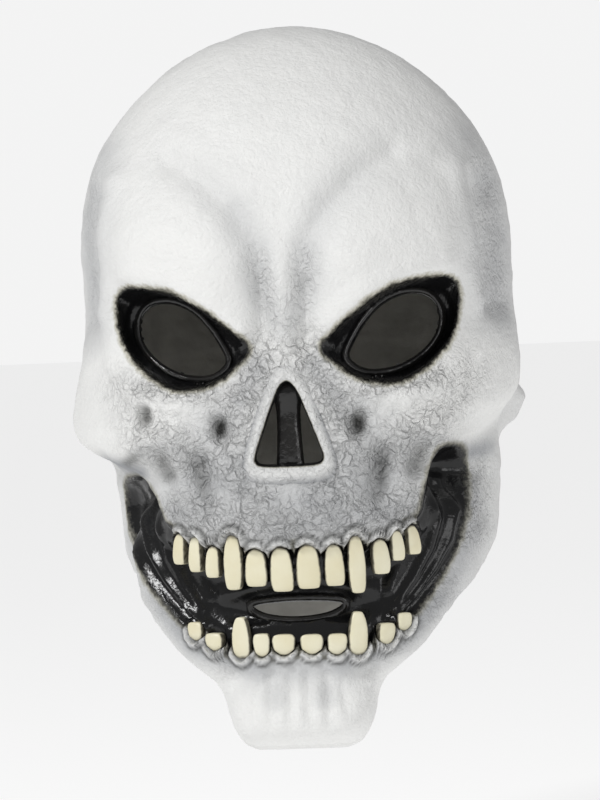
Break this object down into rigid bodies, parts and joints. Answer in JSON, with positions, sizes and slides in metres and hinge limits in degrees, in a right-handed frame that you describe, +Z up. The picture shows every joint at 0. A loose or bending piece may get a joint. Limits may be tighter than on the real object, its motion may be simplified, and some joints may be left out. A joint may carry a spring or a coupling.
{
  "type": "latex skull mask",
  "caption": "Full-head latex skull mask with sunk black eye sockets, open nose hole, wide grin of cream teeth and a flexing lower jaw.",
  "frame": {"origin": "inside face of the crown, on the middle plane, where the wearer's head holds the mask up", "axes": "+Z up, the face looks along -Y, +X is the wearer's left"},
  "size_m": [0.193, 0.2346, 0.301],
  "materials": {
    "bone_latex": "matt wrinkled",
    "pale_latex": "satin",
    "black_latex": "gloss",
    "cream_latex": "satin"
  },
  "bodies": {
    "skull": {"face_skin": "bone_latex", "back_skin": "bone_latex", "eye_cup_left": "black_latex", "eye_cup_right": "black_latex", "eye_rim_left": "black_latex", "eye_rim_right": "black_latex", "nose_rim": "pale_latex", "nose_septum": "black_latex", "mouth_lining_upper": "black_latex", "upper_tooth_01": "cream_latex", "upper_tooth_02": "cream_latex", "upper_tooth_03": "cream_latex", "upper_tooth_04": "cream_latex", "upper_tooth_05": "cream_latex", "upper_tooth_06": "cream_latex", "upper_tooth_07": "cream_latex", "upper_tooth_08": "cream_latex", "upper_tooth_09": "cream_latex", "upper_tooth_10": "cream_latex", "upper_tooth_11": "cream_latex", "upper_tooth_12": "cream_latex"},
    "jaw": {"jaw_skin": "bone_latex", "mouth_lining_lower": "black_latex", "mouth_lip": "black_latex", "lower_tooth_01": "cream_latex", "lower_tooth_02": "cream_latex", "lower_tooth_03": "cream_latex", "lower_tooth_04": "cream_latex", "lower_tooth_05": "cream_latex", "lower_tooth_06": "cream_latex", "lower_tooth_07": "cream_latex", "lower_tooth_08": "cream_latex", "lower_tooth_09": "cream_latex", "lower_tooth_10": "cream_latex"}
  },
  "joints": [
    {"name": "jaw_flex", "type": "hinge", "parent": "skull", "child": "jaw", "pos_m": [0, -0.002, -0.1724], "axis": [1, 0, 0], "range_deg": [0, 8], "stiffness_Nm_per_rad": 0.9}
  ]
}
